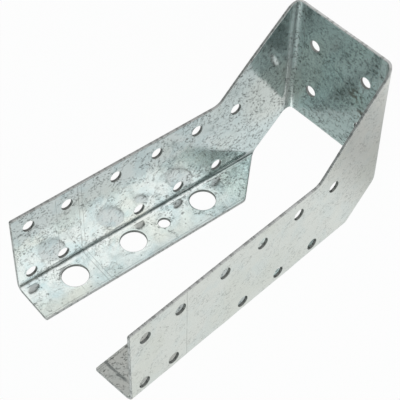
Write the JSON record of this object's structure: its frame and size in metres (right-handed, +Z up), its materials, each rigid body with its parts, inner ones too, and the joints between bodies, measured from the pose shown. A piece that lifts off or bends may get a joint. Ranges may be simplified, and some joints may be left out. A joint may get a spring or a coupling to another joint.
{
  "type": "joist hanger",
  "caption": "Folded steel joist hanger: a level seat, two punched legs leaning slightly outwards, and flanges folded inwards to fix to a header beam.",
  "frame": {"origin": "middle of the seat's upper face, where the joist bears", "axes": "+Z up the legs, +Y towards the header beam, X across the joist with the part symmetric about X = 0"},
  "size_m": [0.0698, 0.0776, 0.1391],
  "materials": {
    "galvanised_steel": "hot-dip galvanised sheet, dull blue-grey with pale mottling and small dark flecks"
  },
  "bodies": {
    "root": {"hanger": "galvanised_steel"}
  },
  "joints": []
}
